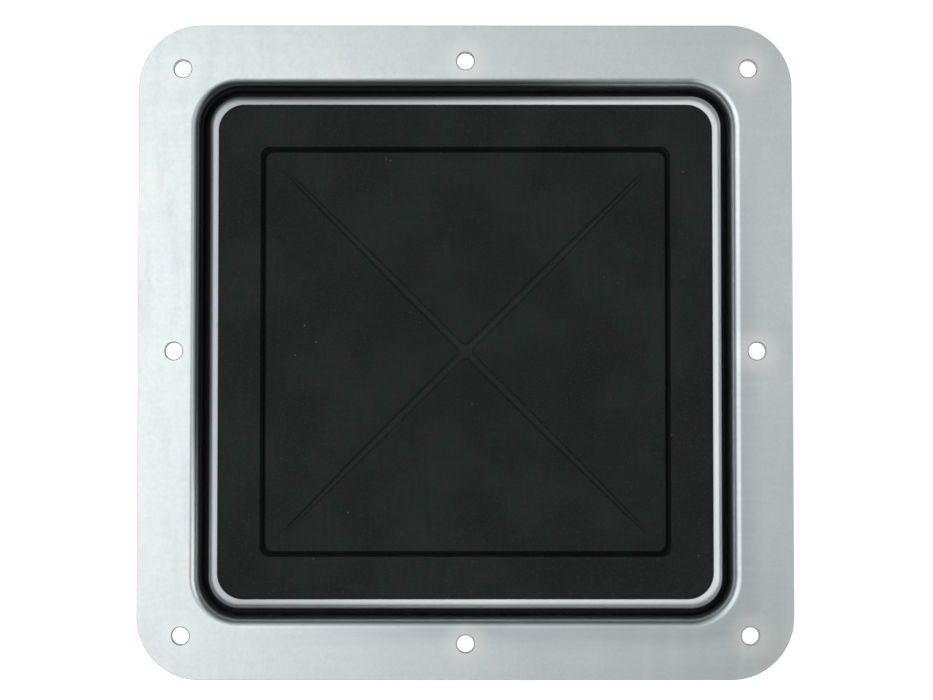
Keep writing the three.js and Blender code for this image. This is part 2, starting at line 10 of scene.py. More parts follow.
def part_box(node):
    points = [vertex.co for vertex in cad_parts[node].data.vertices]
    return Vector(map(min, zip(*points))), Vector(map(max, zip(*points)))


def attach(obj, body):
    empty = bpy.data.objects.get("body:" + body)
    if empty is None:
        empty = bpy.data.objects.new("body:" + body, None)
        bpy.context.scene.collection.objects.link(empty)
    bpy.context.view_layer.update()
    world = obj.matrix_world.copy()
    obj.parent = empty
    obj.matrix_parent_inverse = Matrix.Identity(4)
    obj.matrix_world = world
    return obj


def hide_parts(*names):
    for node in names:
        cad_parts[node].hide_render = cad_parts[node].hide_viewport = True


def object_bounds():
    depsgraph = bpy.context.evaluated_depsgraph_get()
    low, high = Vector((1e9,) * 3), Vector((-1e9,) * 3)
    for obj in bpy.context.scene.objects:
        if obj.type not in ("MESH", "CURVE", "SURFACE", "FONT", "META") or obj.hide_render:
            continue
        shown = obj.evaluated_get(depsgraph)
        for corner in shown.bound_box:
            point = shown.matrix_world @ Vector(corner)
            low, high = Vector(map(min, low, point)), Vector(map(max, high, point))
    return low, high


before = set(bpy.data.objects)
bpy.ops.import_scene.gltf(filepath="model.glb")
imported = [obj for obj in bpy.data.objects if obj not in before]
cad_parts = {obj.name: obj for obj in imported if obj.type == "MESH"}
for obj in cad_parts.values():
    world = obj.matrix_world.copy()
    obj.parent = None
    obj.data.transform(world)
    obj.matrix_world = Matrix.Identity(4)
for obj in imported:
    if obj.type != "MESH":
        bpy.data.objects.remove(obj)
cad_box = [list(corner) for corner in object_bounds()]


# ---- sizes, in millimetres

class Span:
    """A CAD node's box at rest, in millimetres."""

    def __init__(self, node):
        low, high = (corner * 1000 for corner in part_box(node))
        self.left, self.front, self.bottom = low
        self.right, self.back, self.top = high
        self.width = self.right - self.left
        self.height = self.top - self.bottom
        self.middle = (low + high) / 2


SHEET = 1.5
EDGE = 0.25  # rounding on a sheared or machined edge
CORNER_CENTRE = 86  # the well, seal and lid turn their corners about this point
FLANGE_CORNER = 24
WELL_BEND = 4
HOLE_RADIUS = 3.3
HOLE_DEBURR = 0.3
HOLE_CORNER = 108.3
HOLE_MIDDLE = 111.3
TRAY_CORNER = 9.8
RIM_WIDTH = 3.7
RIM_ROUND = 3.3
RECESS_HALF = 78.2
RECESS_CORNER = 3.4
RECESS_DEPTH = 1.5
CHANNEL_DEPTH = 1.7  # of the vee at the foot of the recess's wall, below its floor
GROOVE_DEPTH = 0.7
GROOVE_HALF_WIDTH = 1.6
GROOVE_REACH = 76
BRIDGE_BOLT_Y = 9
HOUSING_SCREW_AT = 21
CORNER_STEPS = 24
ROUND = 64

sheet = Span("deck_frame")
gasket = Span("deck_gasket")
ledge = Span("seal_ledge")
seal = Span("lid_seal")
tray = Span("lid_tray")
insert = Span("lid_insert")
brace = Span("lid_brace")
bridge = Span("bridge_bar")
housing = Span("bearing_housing")
drive_nut = Span("drive_nut")
wheel = Span("handwheel")
spindle = Span("spindle")

FLANGE_TOP = sheet.top
FLANGE_UNDER = sheet.top - SHEET
WELL_HALF = ledge.right + 0.1
LID_HALF = tray.right
INSERT_HALF = insert.right
TRAY_TOP = insert.bottom - 0.1
ROD_AT = Span("guide_rod_right").middle.x


def deck_hole_places():
    """The eight deck screw places: four corners, and four middles a little further out."""
    corners = [(x, y) for x in (-HOLE_CORNER, HOLE_CORNER) for y in (-HOLE_CORNER, HOLE_CORNER)]
    return corners + [(HOLE_MIDDLE, 0), (0, HOLE_MIDDLE), (-HOLE_MIDDLE, 0), (0, -HOLE_MIDDLE)]


def housing_screw_places():
    return [polar(HOUSING_SCREW_AT, radians(45 + 90 * i)) for i in range(4)]


def wheel_screw_places():
    return [Span(f"wheel_screw_{i}").middle.xy for i in range(1, 4)]


def stud_places():
    return [Span(f"brace_nut_{i}").middle.xy for i in range(1, 9)]


# ---- making meshes

def as_object(name, bm, smooth_below=35):
    """Turns a bmesh in millimetres into an object in metres, smooth except at its creases."""
    bmesh.ops.remove_doubles(bm, verts=bm.verts, dist=1e-4)
    bmesh.ops.recalc_face_normals(bm, faces=bm.faces)
    mark_creases(bm, smooth_below)
    bmesh.ops.scale(bm, vec=Vector((0.001, 0.001, 0.001)), verts=bm.verts)
    mesh = bpy.data.meshes.new(name)
    bm.to_mesh(mesh)
    bm.free()
    made = bpy.data.objects.new(name, mesh)
    bpy.context.collection.objects.link(made)
    return made


def mark_creases(bm, smooth_below):
    """Shades a mesh smooth, except across edges that turn more than this many degrees."""
    crease = radians(smooth_below)
    for edge in bm.edges:
        edge.smooth = len(edge.link_faces) != 2 or edge.calc_face_angle(0) < crease
    for face in bm.faces:
        face.smooth = True


def loft(name, rings, closed=False, smooth_below=35):
    """Skins rings of points. An open loft is capped at both ends, a closed one joins round."""
    bm = bmesh.new()
    rows = [[bm.verts.new(point) for point in ring] for ring in rings]
    pairs = list(zip(rows, rows[1:] + rows[:1]))
    if not closed:
        pairs.pop()
        bm.faces.new(reversed(rows[0]))
        bm.faces.new(rows[-1])
    for low, high in pairs:
        for i in range(len(low)):
            j = (i + 1) % len(low)
            bm.faces.new((low[i], low[j], high[j], high[i]))
    return as_object(name, bm, smooth_below)


def arc(x, z, radius, start, end, steps):
    """Points of an arc in a section, between two angles in degrees."""
    angles = [radians(start + (end - start) * i / steps) for i in range(steps + 1)]
    return [(x + radius * cos(a), z + radius * sin(a)) for a in angles]


def outer_face(radius, low, high, low_break=EDGE, high_break=EDGE):
    """Section of an outer face, going up, with its edges broken. A break of 0 leaves an edge sharp."""
    lower = [(radius - low_break, low), (radius, low + low_break)] if low_break else [(radius, low)]
    upper = [(radius, high - high_break), (radius - high_break, high)] if high_break else [(radius, high)]
    return lower + upper


def inner_face(radius, low, high, low_break=EDGE, high_break=EDGE):
    """Section of a bore's face, going down, with its edges broken."""
    upper = [(radius + high_break, high), (radius, high - high_break)]
    return upper + [(radius, low + low_break), (radius + low_break, low)]


def polar(radius, angle):
    return radius * cos(angle), radius * sin(angle)


def circle(radius, z, sides=ROUND):
    return [(*polar(radius, 2 * pi * i / sides), z) for i in range(sides)]


def rounded_square(half, corner, z):
    """Points round a square of a given half width."""
    centre = half - corner
    ring = []
    for quarter in range(4):
        start = quarter * pi / 2
        middle = start + pi / 4
        centre_x = copysign(centre, cos(middle))
        centre_y = copysign(centre, sin(middle))
        for step in range(CORNER_STEPS + 1):
            angle = start + pi / 2 * step / CORNER_STEPS
            ring.append((centre_x + corner * cos(angle), centre_y + corner * sin(angle), z))
    return ring


def square_ring(name, section, closed=True):
    """Sweeps a section round a square. A section point is (half width, z) or adds a corner radius."""
    rings = []
    for half, z, *corner in section:
        rings.append(rounded_square(half, corner[0] if corner else half - CORNER_CENTRE, z))
    return loft(name, rings, closed)


def turning_about(centre, points):
    """Section points for a square ring whose corners turn about a centre of their own."""
    return [(half, z, half - centre) for half, z in points]


def turned(name, outline, closed=False, sides=ROUND):
    """A lathe piece from its (radius, z) outline."""
    return loft(name, [circle(radius, z, sides) for radius, z in outline], closed)


def turned_ring(name, inner, outer, bottom, top, edge):
    """A washer with its four edges broken."""
    outline = outer_face(outer, bottom, top, edge, edge) + inner_face(inner, bottom, top, edge, edge)
    return turned(name, outline, closed=True)


def drill(radius, low, high, x=0, y=0):
    """A round cutter that stands at a point, from a low to a high level."""
    return moved(turned("cutter", [(radius, low), (radius, high)]), x, y)


def hexagonal(name, outline, across_flats, closed=False, sides=72):
    """A turned piece cut to a hexagon: its chamfers meet the flats in curves."""
    apothem = across_flats / 2
    rings = []
    for radius, z in outline:
        ring = []
        for i in range(sides):
            angle = 2 * pi * i / sides
            off_flat = (angle % (pi / 3)) - pi / 6
            reach = min(radius, apothem / cos(off_flat))
            ring.append((*polar(reach, angle), z))
        rings.append(ring)
    return loft(name, rings, closed, smooth_below=20)


def extruded(name, outline, bottom, top):
    """A flat plate or bar from an outline in X and Y."""
    return loft(name, [[(x, y, z) for x, y in outline] for z in (bottom, top)])


def threaded(name, radius, depth, pitch, bottom, top, starts=1, crest=0.35, sides=48):
    """A screw thread. Each turn's root, flanks and crest follow the helix, and the ends are cut flat."""
    flank = (1 - crest) / 3
    profile = [(0, -depth), (flank, -depth), (2 * flank, 0), (2 * flank + crest, 0)]
    bm = bmesh.new()
    rows = []
    turns = int((top - bottom) / pitch) + 2 * starts + 1
    for turn in range(-starts, turns):
        for along, out in profile:
            row = []
            for i in range(sides):
                share = i / sides
                z = bottom + (turn + along + share * starts) * pitch
                row.append(bm.verts.new((*polar(radius + out, 2 * pi * share), z)))
            rows.append(row)
    rows_in_a_lead = len(profile) * starts
    for r in range(len(rows) - 1):
        for i in range(sides):
            j = (i + 1) % sides
            climb = rows_in_a_lead if j == 0 else 0
            if r + 1 + climb < len(rows):
                bm.faces.new((rows[r][i], rows[r + climb][j], rows[r + 1 + climb][j], rows[r + 1][i]))
    for level, keeps_above in ((bottom, True), (top, False)):
        cut = bmesh.ops.bisect_plane(
            bm, geom=bm.verts[:] + bm.edges[:] + bm.faces[:], plane_co=(0, 0, level),
            plane_no=(0, 0, 1), clear_inner=keeps_above, clear_outer=not keeps_above,
        )
        rim = [part for part in cut["geom_cut"] if isinstance(part, bmesh.types.BMEdge)]
        bmesh.ops.edgeloop_fill(bm, edges=rim)
    return as_object(name, bm, smooth_below=25)


def settle(piece):
    """Applies a piece's modifiers to its mesh."""
    shaped = piece.evaluated_get(bpy.context.evaluated_depsgraph_get())
    mesh = bpy.data.meshes.new_from_object(shaped)
    piece.modifiers.clear()
    piece.data = mesh
    return piece


def combine(piece, others, operation):
    """Cuts a piece with others, or joins them to it, and removes the others."""
    for other in others:
        boolean = piece.modifiers.new("boolean", "BOOLEAN")
        boolean.object = other
        boolean.operation = operation
        boolean.solver = "EXACT"
    settle(piece)
    bm = bmesh.new()
    bm.from_mesh(piece.data)
    mark_creases(bm, 35)
    bm.to_mesh(piece.data)
    bm.free()
    for other in others:
        bpy.data.objects.remove(other)
    return piece


def cut(piece, cutters):
    return combine(piece, cutters, "DIFFERENCE")


def join(piece, others):
    return combine(piece, others, "UNION")


def soften(piece, width):
    """Rounds a piece's creases."""
    bevel = piece.modifiers.new("bevel", "BEVEL")
    bevel.width = width / 1000
    bevel.segments = 2
    bevel.limit_method = "ANGLE"
    bevel.angle_limit = radians(40)
    return piece


def turn_about(axis, degrees):
    return Matrix.Rotation(radians(degrees), 4, axis)


def moved(piece, x=0, y=0, z=0, turn=None):
    """Turns a piece's mesh, then shifts it, in millimetres."""
    shift = Matrix.Translation(Vector((x, y, z)) / 1000)
    piece.data.transform(shift @ turn if turn else shift)
    return piece


def fit_out(piece, finish, body, *nodes):
    """Gives a piece its finish, its body and the CAD nodes that it stands for."""
    piece.data.materials.clear()
    piece.data.materials.append(finish)
    flats = piece.modifiers.new("flats", "WEIGHTED_NORMAL")
    flats.keep_sharp = True
    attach(piece, body)
    if nodes:
        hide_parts(*nodes)
    return piece


# ---- shader maths

class Value:
    """One output socket. Arithmetic on it adds Math nodes."""

    def __init__(self, finish, socket):
        self.finish = finish
        self.socket = socket

    def maths(self, operation, *values):
        return self.finish.node("Math", {"operation": operation}, dict(enumerate(values)))

    def __add__(self, other):
        return self.maths("ADD", self, other)

    def __sub__(self, other):
        return self.maths("SUBTRACT", self, other)

    def __rsub__(self, other):
        return self.maths("SUBTRACT", other, self)

    def __mul__(self, other):
        return self.maths("MULTIPLY", self, other)

    __radd__ = __add__
    __rmul__ = __mul__

    def sine(self):
        return self.maths("SINE", self)

    def absolute(self):
        return self.maths("ABSOLUTE", self)

    def maximum(self, other):
        return self.maths("MAXIMUM", self, other)

    def between(self, low, high):
        """0 below low and 1 above high, with a smooth rise between them."""
        inputs = {"Value": self, "From Min": low, "From Max": high}
        return self.finish.node("MapRange", {"interpolation_type": "SMOOTHSTEP"}, inputs)


def socket_name(word):
    """A shader socket's name, from the word that stands for it in a call."""
    return word.replace("_", " ").title().replace("Ior", "IOR")


class Finish:
    """A material under construction, with its surface shader."""

    def __init__(self, name, **uniform):
        self.material = bpy.data.materials.new(name)
        self.material.use_nodes = True
        self.tree = self.material.node_tree
        self.shader = self.tree.nodes["Principled BSDF"]
        for socket, value in uniform.items():
            self.shader.inputs[socket_name(socket)].default_value = value

    def node(self, kind, settings=None, inputs=None, output=0):
        """Adds a node, sets it up, fills or links its inputs, and gives one of its outputs."""
        made = self.tree.nodes.new("ShaderNode" + kind)
        for setting, value in (settings or {}).items():
            setattr(made, setting, value)
        for socket, value in (inputs or {}).items():
            self.feed(made.inputs[socket], value)
        return Value(self, made.outputs[output])

    def feed(self, socket, value):
        if isinstance(value, Value):
            self.tree.links.new(value.socket, socket)
        else:
            socket.default_value = value

    def place(self):
        """The point on the piece, in the hatch's frame."""
        return self.node("TexCoord", output="Object")

    def axes(self):
        split = self.node("SeparateXYZ", inputs={0: self.place()})
        outputs = split.socket.node.outputs
        return [Value(self, outputs[axis]) for axis in "XYZ"]

    def grain(self, size, detail=3, stretch=(1, 1, 1), distortion=0):
        """Noise whose features are size millimetres across, drawn out along an axis by stretch."""
        spread = tuple(1 / amount for amount in stretch)
        scaled = self.node("Mapping", inputs={"Vector": self.place(), "Scale": spread})
        inputs = {"Vector": scaled, "Scale": 1000 / size, "Detail": detail, "Distortion": distortion}
        return self.node("TexNoise", inputs=inputs)

    def blend(self, factor, first, second):
        """The first colour where the factor is 0, and the second where it is 1."""
        return self.node("Mix", {"data_type": "RGBA"}, {"Factor": factor, 6: first, 7: second}, output=2)

    def surface(self, colour, rough, height, depth, strength):
        """Finishes the material, with a bump from a height of 0 to 1, depth millimetres deep."""
        relief = self.node("Bump", inputs={"Height": height, "Distance": depth / 1000, "Strength": strength})
        for socket, value in (("Base Color", colour), ("Roughness", rough), ("Normal", relief)):
            self.feed(self.shader.inputs[socket], value)
        return self.material


def shade(red, green, blue):
    return (red, green, blue, 1)


# ---- finishes

def satin_sheet():
    """Bead-blasted stainless sheet: mottled, wiped and drawn over the die, with a little straw tint and
    darker streaks beside the bend at the right and front. Painted highlights ring the screw holes, and
    painted shade darkens the bend's upper skin at the left and back.
    """
    steel = Finish("satin_sheet_steel", metallic=1)
    x, y, z = steel.axes()
    cloud = steel.grain(38)
    mottle = steel.grain(1.3, detail=4)
    wiped = steel.grain(4, detail=4, stretch=(1, 7, 1), distortion=0.4).between(0.45, 0.8)
    drawn = steel.grain(2.2, stretch=(16, 1, 1))
    blast = steel.grain(0.45, detail=2)
    cool = steel.blend(cloud, shade(0.64, 0.71, 0.722), shade(0.76, 0.81, 0.808))
    skin = steel.blend(mottle * 0.52 + drawn * 0.26, cool, shade(0.5, 0.555, 0.565))
    tint = steel.grain(30, detail=2, distortion=0.6).between(0.56, 0.72)
    tinted = steel.blend(tint * 0.35, skin, shade(0.72, 0.71, 0.66))
    beside_bend = 1 - x.absolute().maximum(y.absolute()).between(0.1065, 0.1145)
    # darker streaks on the flange beside the bend, on the right and front sides only
    bend_streaks = beside_bend * (x - y).between(0.02, 0.1) * (0.25 + drawn * 0.6)
    streaked = steel.blend(bend_streaks, tinted, shade(0.46, 0.52, 0.54))
    # painted highlight: the sheet is lighter round each deck screw hole, more so towards the right
    hole_highlight = painted_hole_highlight(steel) * (0.15 + mottle * 0.6) * x.between(-0.2, 0.1)
    highlighted = steel.blend(hole_highlight, streaked, shade(0.9, 0.89, 0.83))
    # painted shade: the upper skin of the bend is darkened on the left and back sides, standing for the dark
    # that it reflects
    painted_bend_shade = top_of_bend(steel, z) * (y - x).between(0.02, 0.09) * 0.85
    colour = steel.blend(painted_bend_shade, highlighted, shade(0.1, 0.11, 0.115))
    rough = 0.24 + cloud * 0.06 + wiped * 0.05 + mottle * 0.06 + blast * 0.03
    return steel.surface(colour, rough, blast, 0.004, 0.35)


def painted_hole_highlight(steel):
    """1 beside a deck screw hole, fading to 0: a painted highlight where the punch dished the sheet."""
    folded = steel.node("VectorMath", {"operation": "ABSOLUTE"}, {0: steel.place()})
    hole_highlight = 0
    for x, y in deck_hole_places():
        if x >= 0 and y >= 0:
            ends = {0: folded, 1: (x / 1000, y / 1000, FLANGE_TOP / 1000)}
            distance = steel.node("VectorMath", {"operation": "DISTANCE"}, ends, output=1)
            hole_highlight = (1 - distance.between(HOLE_RADIUS / 1000, 0.0115)) + hole_highlight
    return hole_highlight


def top_of_bend(steel, z):
    """1 on the upper skin of the bend, where painted shade goes, and 0 elsewhere."""
    normal = steel.node("TexCoord", output="Normal")
    facing_up = steel.node("SeparateXYZ", inputs={0: normal}, output=2).between(0.02, 0.2)
    flange = z.between((FLANGE_TOP - 0.4) / 1000, (FLANGE_TOP - 0.01) / 1000)
    return (facing_up - flange).maximum(0)


def polished_rim():
    """Polished folded edge of the lid, with hairlines. Painted light makes it brighter to the right and
    darker to the left.
    """
    steel = Finish("polished_rim_steel", metallic=1)
    x, y = steel.axes()[:2]
    # painted light: the rim runs from a dark grey on its left to near white on its right
    cloud = steel.grain(25, detail=2) * 0.2 + (x - y * 0.3).between(-0.1, 0.05) * 0.8
    hairline = steel.grain(0.5, stretch=(1, 1, 8))
    colour = steel.blend(cloud, shade(0.385, 0.415, 0.435), shade(0.95, 0.985, 0.99))
    rough = 0.38 + cloud * 0.06 + hairline * 0.05
    return steel.surface(colour, rough, hairline, 0.001, 0.2)


def mill_bar():
    """Rolled bar and plate: long draw marks, and a duller skin."""
    steel = Finish("mill_bar_steel", metallic=1)
    cloud = steel.grain(18, detail=4)
    drawn = steel.grain(0.6, detail=4, stretch=(30, 1, 1))
    pits = steel.grain(1.1, detail=2).between(0.66, 0.74)
    light = steel.blend(cloud, shade(0.47, 0.49, 0.49), shade(0.6, 0.61, 0.61))
    colour = steel.blend(pits * 0.4, light, shade(0.2, 0.2, 0.2))
    rough = 0.36 + cloud * 0.12 + drawn * 0.1
    height = drawn * 0.6 - pits * 0.5
    return steel.surface(colour, rough, height, 0.02, 0.5)


def turned_steel():
    """Bright turned steel: fine rings round the axis, from height alone, and light handling marks."""
    steel = Finish("turned_steel", metallic=1)
    cloud = steel.grain(12)
    rings = steel.grain(0.25, stretch=(60, 60, 1))
    colour = steel.blend(cloud, shade(0.6, 0.61, 0.62), shade(0.72, 0.725, 0.73))
    rough = 0.2 + cloud * 0.1 + rings * 0.1
    return steel.surface(colour, rough, rings, 0.006, 0.5)


def fastener_steel():
    """Cold-formed stainless screws, bolts and nuts."""
    steel = Finish("fastener_steel", metallic=1)
    cloud = steel.grain(4)
    scuffs = steel.grain(0.5, detail=4)
    colour = steel.blend(cloud, shade(0.55, 0.56, 0.56), shade(0.7, 0.7, 0.695))
    rough = 0.24 + cloud * 0.12 + scuffs.between(0.5, 0.8) * 0.12
    return steel.surface(colour, rough, scuffs, 0.008, 0.4)


def moulded_insert():
    """Charcoal rubber with a pressed cloth grain, paler in its grooves, with painted shade nearly black in
    its channel.
    """
    rubber = Finish("moulded_insert_rubber", specular_ior_level=0.25)
    x, y, z = rubber.axes()
    thread = 2 * pi / 0.00085
    wobble = rubber.grain(3) * 5
    slubs = rubber.grain(0.7)
    cloth = (x * thread + wobble).sine() * (y * thread + wobble).sine() * 0.35 + slubs * 0.65
    cloud = rubber.grain(32, detail=4)
    patches = rubber.grain(5, detail=5).between(0.4, 0.6)
    streaks = (rubber.grain(1.1, stretch=(14, 1, 1)) + rubber.grain(1.1, stretch=(1, 14, 1))) * 0.5
    green = rubber.blend(streaks, shade(0.004, 0.013, 0.009), shade(0.0165, 0.031, 0.025))
    brown = rubber.blend(streaks, shade(0.0085, 0.0105, 0.0095), shade(0.0255, 0.0295, 0.027))
    mixed = rubber.blend(patches, green, brown)
    base = rubber.blend(cloud.between(0.3, 0.7) * 0.65, mixed, shade(0.0045, 0.007, 0.0055))
    flecked = rubber.blend(slubs.between(0.5, 0.75) * 0.6, base, shade(0.035, 0.038, 0.036))
    dusty = rubber.blend(dust_specks(rubber) * 0.55, flecked, shade(0.2, 0.21, 0.2))
    floor = (insert.top - RECESS_DEPTH) / 1000
    pale = (1 - z.between(floor - 0.0008, floor - 0.0004)) * 0.12
    worn = rubber.blend(pale, dusty, shade(0.05, 0.06, 0.054))
    # painted shade: the vee channel at the foot of the recess's wall is darkened nearly to black, and made
    # rougher
    channel_shade = 1 - z.between(floor - 0.0016, floor - 0.001)
    colour = rubber.blend(channel_shade * 0.9, worn, shade(0.0008, 0.001, 0.0009))
    rough = 0.56 + cloud * 0.1 + slubs * 0.08 + channel_shade * 0.2
    return rubber.surface(colour, rough, cloth, 0.1, 0.8)


def dust_specks(rubber):
    """A few pale specks, far apart."""
    cells = {"Vector": rubber.place(), "Scale": 150.0}
    from_speck = rubber.node("TexVoronoi", {"feature": "F1"}, cells)
    return (1 - from_speck.between(0.03, 0.06)) * rubber.grain(9, detail=1).between(0.56, 0.6)


def cellular_rubber():
    """Black sponge rubber with a closed skin."""
    rubber = Finish("cellular_rubber", specular_ior_level=0.3)
    cloud = rubber.grain(14, detail=4)
    pores = rubber.node("TexVoronoi", None, {"Vector": rubber.place(), "Scale": 1600.0})
    colour = rubber.blend(cloud, shade(0.008, 0.009, 0.009), shade(0.02, 0.021, 0.021))
    rough = 0.66 + cloud * 0.18
    return rubber.surface(colour, rough, pores, 0.06, 0.4)


def moulded_nylon():
    """Black glass-filled nylon with a sparked grain."""
    nylon = Finish("moulded_nylon", specular_ior_level=0.45)
    spark = nylon.grain(0.45)
    cloud = nylon.grain(16)
    colour = nylon.blend(cloud, shade(0.013, 0.0135, 0.014), shade(0.024, 0.025, 0.026))
    rough = 0.36 + cloud * 0.12 + spark * 0.1
    return nylon.surface(colour, rough, spark, 0.04, 0.4)


def natural_acetal():
    """Machined white acetal, slightly waxy."""
    acetal = Finish("natural_acetal", subsurface_weight=0.06)
    cloud = acetal.grain(5)
    rings = acetal.grain(0.25, detail=2, stretch=(40, 40, 1))
    colour = acetal.blend(cloud, shade(0.74, 0.72, 0.65), shade(0.82, 0.81, 0.76))
    rough = 0.32 + rings * 0.12
    return acetal.surface(colour, rough, rings, 0.01, 0.4)


def turned_bronze():
    """Turned gunmetal, browner where it has been handled."""
    bronze = Finish("turned_bronze", metallic=1)
    cloud = bronze.grain(7, detail=4)
    rings = bronze.grain(0.25, stretch=(60, 60, 1))
    tarnish = bronze.grain(2.5, detail=4).between(0.45, 0.75)
    bright = bronze.blend(cloud, shade(0.56, 0.36, 0.16), shade(0.68, 0.46, 0.22))
    colour = bronze.blend(tarnish * 0.5, bright, shade(0.26, 0.15, 0.07))
    rough = 0.24 + tarnish * 0.16 + rings * 0.1
    return bronze.surface(colour, rough, rings, 0.008, 0.5)


SATIN = satin_sheet()
POLISHED = polished_rim()
MILL = mill_bar()
TURNED = turned_steel()
FASTENER = fastener_steel()
INSERT = moulded_insert()
SPONGE = cellular_rubber()
NYLON = moulded_nylon()
ACETAL = natural_acetal()
BRONZE = turned_bronze()


# ---- frame

def deck_hole_cutters(bottom, top, flare):
    """Cutters for the deck screw holes, flared where the drill's burr was taken off."""
    radius, past, steepness = HOLE_RADIUS, 1, 0.7
    rise_of_flare = flare * steepness
    outline = [
        (radius + flare + past, bottom - past), (radius + flare, bottom), (radius, bottom + rise_of_flare),
        (radius, top - rise_of_flare), (radius + flare, top), (radius + flare + past, top + past),
    ]
    return [moved(turned("cutter", outline), x, y) for x, y in deck_hole_places()]


def make_frame_sheet():
    """Flange, bend and well wall in one pressed sheet."""
    outside, foot = sheet.right, sheet.bottom
    bend, bend_z = WELL_HALF + WELL_BEND, FLANGE_TOP - WELL_BEND
    edge = [(outside - EDGE, FLANGE_UNDER)]
    edge += arc(outside - EDGE, FLANGE_UNDER + EDGE, EDGE, -45, 0, 2)
    edge += arc(outside - EDGE, FLANGE_TOP - EDGE, EDGE, 0, 90, 3)
    section = [(WELL_HALF + EDGE, foot), (WELL_HALF + SHEET - EDGE, foot), (WELL_HALF + SHEET, foot + EDGE)]
    section += arc(bend, bend_z, WELL_BEND - SHEET, 180, 90, 6)
    section += turning_about(outside - FLANGE_CORNER, edge)
    section += arc(bend, bend_z, WELL_BEND, 90, 180, 14)
    section += [(WELL_HALF, foot + EDGE)]
    holes = deck_hole_cutters(FLANGE_UNDER, FLANGE_TOP, HOLE_DEBURR)
    return fit_out(cut(square_ring("frame_sheet", section), holes), SATIN, "frame", "deck_frame")


def make_deck_gasket():
    """Flat sponge gasket between the flange and the deck."""
    inner, outer, bottom, top = 105.4, gasket.right, gasket.bottom, gasket.top
    section = turning_about(sheet.right - FLANGE_CORNER, outer_face(outer, bottom, top))
    section += inner_face(inner, bottom, top)
    piece = cut(square_ring("gasket_ring", section), deck_hole_cutters(bottom, top, 0.05))
    return fit_out(piece, SPONGE, "frame", "deck_gasket")


def make_seal_ledge():
    """Angle ring: the seal lies on its ledge, and the bridge bar is bolted to its downstand."""
    inside, inside_corner, inner_bend = 86, 10, 1
    top, under, bottom = ledge.top, ledge.top - SHEET, ledge.bottom
    centre = inside - inside_corner
    bend, bend_z = inside + SHEET + inner_bend, under - inner_bend
    back = [(inside + SHEET, bottom + EDGE)] + arc(bend, bend_z, inner_bend, 180, 90, 4)
    face = arc(bend, bend_z, inner_bend + SHEET, 90, 180, 8)
    foot = [(inside, bottom + EDGE), (inside + EDGE, bottom), (inside + SHEET - EDGE, bottom)]
    section = turning_about(centre, back) + outer_face(ledge.right, under, top)
    section += turning_about(centre, face + foot)
    piece = cut(square_ring("ledge_ring", section), bridge_bolt_cutters(inside + SHEET / 2))
    return fit_out(piece, SATIN, "frame", "seal_ledge")


def make_lid_seal():
    """Sponge seal: flat underneath, crowned on top, with a shallow channel between two sealing ribs."""
    inner, outer, bottom, top = 88.3, seal.right, seal.bottom, seal.top
    shoulder, channel, slope, depth = 2, 1.6, 0.8, 0.35
    middle = (inner + outer) / 2
    section = [(inner + EDGE, bottom), (outer - EDGE, bottom), (outer, bottom + EDGE)]
    section += arc(outer - shoulder, top - shoulder, shoulder, 0, 90, 8)
    section += [(middle + channel + slope, top), (middle + channel, top - depth)]
    section += [(middle - channel, top - depth), (middle - channel - slope, top)]
    section += arc(inner + shoulder, top - shoulder, shoulder, 90, 180, 8)
    section += [(inner, bottom + EDGE)]
    return fit_out(square_ring("seal_ring", section), SPONGE, "frame", "lid_seal")


def make_weld_seam():
    """Rippled weld that joins the ledge to the foot of the well wall."""
    size, ripple, flatness, lift = 0.9, 0.12, 0.7, 0.1
    ripples, ripple_points, arch_steps = 300, 3, 6
    track = rounded_square(WELL_HALF, WELL_HALF - CORNER_CENTRE, sheet.bottom)
    points = evenly_spaced(track, ripples * ripple_points)
    bm = bmesh.new()
    rows = []
    for i, point in enumerate(points):
        along = points[(i + 1) % len(points)] - points[i - 1]
        out = Vector((along.y, -along.x)).normalized()
        reach = size + ripple * abs(sin(i * pi / ripple_points))
        row = []
        for across, up in arc(0, 0, reach, 180, 360, arch_steps):
            spot = point + out * across
            row.append(bm.verts.new((spot.x, spot.y, sheet.bottom + lift + up * flatness)))
        rows.append(row)
    for row, following in zip(rows, rows[1:] + rows[:1]):
        for k in range(arch_steps):
            bm.faces.new((row[k], row[k + 1], following[k + 1], following[k]))
    return fit_out(as_object("ledge_weld_seam", bm, 180), MILL, "frame")


def evenly_spaced(track, count):
    """Points at even steps round a closed track."""
    corners = [Vector(point[:2]) for point in track]
    lengths = [(b - a).length for a, b in zip(corners, corners[1:] + corners[:1])]
    step = sum(lengths) / count
    points, i, gone = [], 0, 0.0
    for n in range(count):
        while gone + lengths[i] < n * step:
            gone += lengths[i]
            i += 1
        share = (n * step - gone) / lengths[i]
        points.append(corners[i].lerp(corners[(i + 1) % len(corners)], share))
    return points


# ---- bridge

def bridge_bolt_cutters(x_at):
    """Cutters for the four bridge bolts, through the metal at x_at and at -x_at."""
    height = Span("bridge_bolt_1").middle.z
    cutters = []
    for side in (-1, 1):
        for y in (-BRIDGE_BOLT_Y, BRIDGE_BOLT_Y):
            cutters.append(moved(drill(2.8, -8, 8), side * x_at, y, height, turn_about("Y", 90)))
    return cutters


